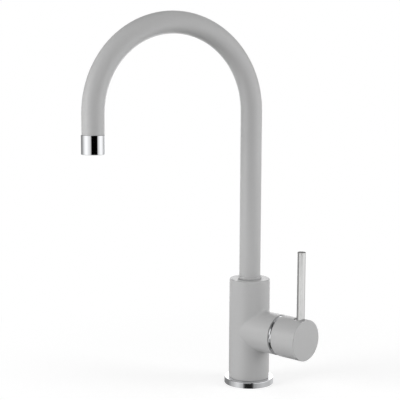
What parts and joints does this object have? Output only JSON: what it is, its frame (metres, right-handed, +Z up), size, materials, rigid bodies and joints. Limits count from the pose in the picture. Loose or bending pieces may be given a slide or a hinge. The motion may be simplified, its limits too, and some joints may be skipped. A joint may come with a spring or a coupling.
{
  "type": "mixer tap",
  "caption": "Deck-mounted mixer tap with a high round swivel spout, a side lever pin on a round handle cap, a ceramic cartridge inside and a stud fixing kit below.",
  "frame": {"origin": "on the riser's axis, at the underside of the base ring, where the tap meets the worktop", "axes": "+Z up along the riser; +X along the handle's axis, away from the body; -Y is the front, towards the user"},
  "size_m": [0.1507, 0.2226, 0.4919],
  "materials": {
    "grey_powder_coat": "satin light grey powder coat",
    "satin_steel": "fine satin",
    "polished_chrome": "polished",
    "machined_brass": "machined",
    "plain_steel": "zinc plated",
    "black_rubber": "matt",
    "bearing_plastic": "moulded",
    "ceramic": "lapped alumina"
  },
  "bodies": {
    "fixed": {"mixer_body": "grey_powder_coat", "base_ring": "polished_chrome", "deck_seal": "black_rubber", "base_o_ring": "black_rubber", "top_ring": "grey_powder_coat", "upper_slide_ring": "bearing_plastic", "lower_slide_ring": "bearing_plastic", "spout_grub_screw": "plain_steel", "cartridge_base": "bearing_plastic", "cartridge_seals": "black_rubber", "cartridge_housing": "bearing_plastic", "fixed_ceramic_disc": "ceramic", "cartridge_nut": "machined_brass", "dome_cover": "polished_chrome", "fixing_stud": "plain_steel", "rubber_gasket": "black_rubber", "clamping_plate": "plain_steel", "fixing_nut": "machined_brass"},
    "spout": {"spout_tube": "grey_powder_coat", "spout_socket": "grey_powder_coat", "socket_o_rings": "black_rubber", "outlet_adapter": "machined_brass", "aerator_housing": "polished_chrome", "aerator_insert": "bearing_plastic", "aerator_screen": "plain_steel", "aerator_gasket": "black_rubber"},
    "rotor": {"rotor_guide": "bearing_plastic", "pivot_pin": "plain_steel"},
    "lever": {"spindle": "machined_brass", "handle_cap": "grey_powder_coat", "lever_pin": "satin_steel", "handle_grub_screw": "plain_steel", "screw_plug": "bearing_plastic"},
    "disc": {"disc_carrier": "bearing_plastic", "moving_ceramic_disc": "ceramic"}
  },
  "joints": [
    {"name": "spout_swivel", "type": "hinge", "parent": "fixed", "child": "spout", "pos_m": [0, 0, 0.1209], "axis": [0, 0, 1], "continuous": true},
    {"name": "temperature_turn", "type": "hinge", "parent": "fixed", "child": "rotor", "pos_m": [0.03, 0, 0.0631], "axis": [1, 0, 0], "range_deg": [-45, 45]},
    {"name": "flow_lift", "type": "hinge", "parent": "rotor", "child": "lever", "pos_m": [0.03, 0, 0.0631], "axis": [0, 1, 0], "range_deg": [0, 25]},
    {"name": "disc_slide", "type": "slide", "parent": "rotor", "child": "disc", "axis": [0, 0, 1], "range_m": [0, 0.00263]}
  ],
  "couplings": [
    {"joint": "disc_slide", "follows": "flow_lift", "m_per_rad": 0.006}
  ]
}
